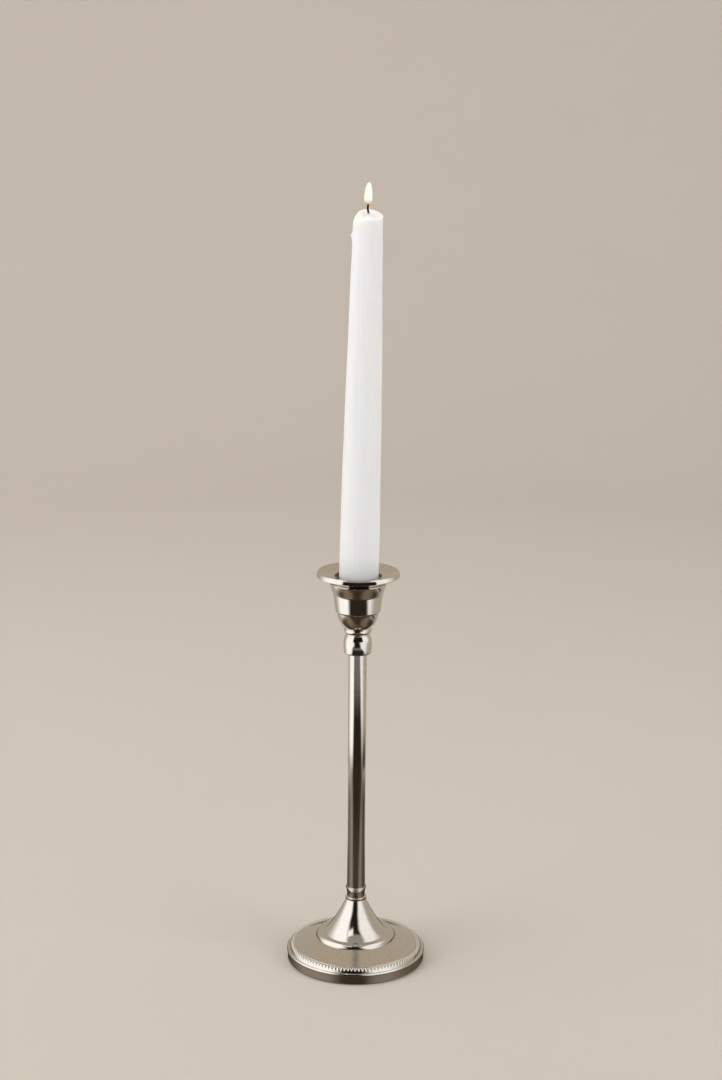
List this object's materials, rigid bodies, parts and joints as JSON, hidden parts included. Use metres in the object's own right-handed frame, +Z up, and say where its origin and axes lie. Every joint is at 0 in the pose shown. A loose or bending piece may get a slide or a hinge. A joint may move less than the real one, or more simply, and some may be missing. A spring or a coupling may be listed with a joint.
{
  "type": "altar candlestick",
  "caption": "Slim nickel-plated candlestick with a beaded round foot, straight stem, candle cup, lift-out drip pan with sleeve, and a part-burnt white taper candle.",
  "frame": {"origin": "centre of the foot's underside, on the surface that the candlestick stands on", "axes": "+Z up along the stem, -Y towards the viewer, +X to the right"},
  "size_m": [0.08, 0.08, 0.4357],
  "materials": {
    "nickel_plate": "mirror-polished warm nickel plate",
    "zinc_steel": "zinc-plated steel",
    "raw_iron": "raw cast iron",
    "green_felt": "dark green wool felt",
    "white_wax": "white candle wax, slightly translucent",
    "charred_cotton": "charred braided cotton",
    "candle_flame": "glowing gas of the lit flame; light, not a solid"
  },
  "bodies": {
    "stand": {"foot_plate": "nickel_plate", "bead_border": "nickel_plate", "base_cover": "zinc_steel", "felt_pad": "green_felt", "ballast_ring": "raw_iron", "foot_cone": "nickel_plate", "neck_collar": "nickel_plate", "stem_tube": "nickel_plate", "knop": "nickel_plate", "band_ring": "nickel_plate", "cup_base": "nickel_plate", "candle_cup": "nickel_plate", "tie_rod": "zinc_steel", "foot_washer": "zinc_steel", "lock_washer": "zinc_steel", "foot_nut": "zinc_steel", "cup_washer": "zinc_steel", "cup_nut": "zinc_steel"},
    "nozzle": {"drip_pan": "nickel_plate", "nozzle_sleeve": "nickel_plate"},
    "taper": {"candle": "white_wax", "wick": "charred_cotton"}
  },
  "joints": [
    {"name": "nozzle_lift", "type": "slide", "parent": "stand", "child": "nozzle", "axis": [0, 0, 1], "range_m": [0, 0.02]},
    {"name": "candle_lift", "type": "slide", "parent": "nozzle", "child": "taper", "axis": [0.0183, 0, 0.9998], "range_m": [0, 0.03]}
  ]
}
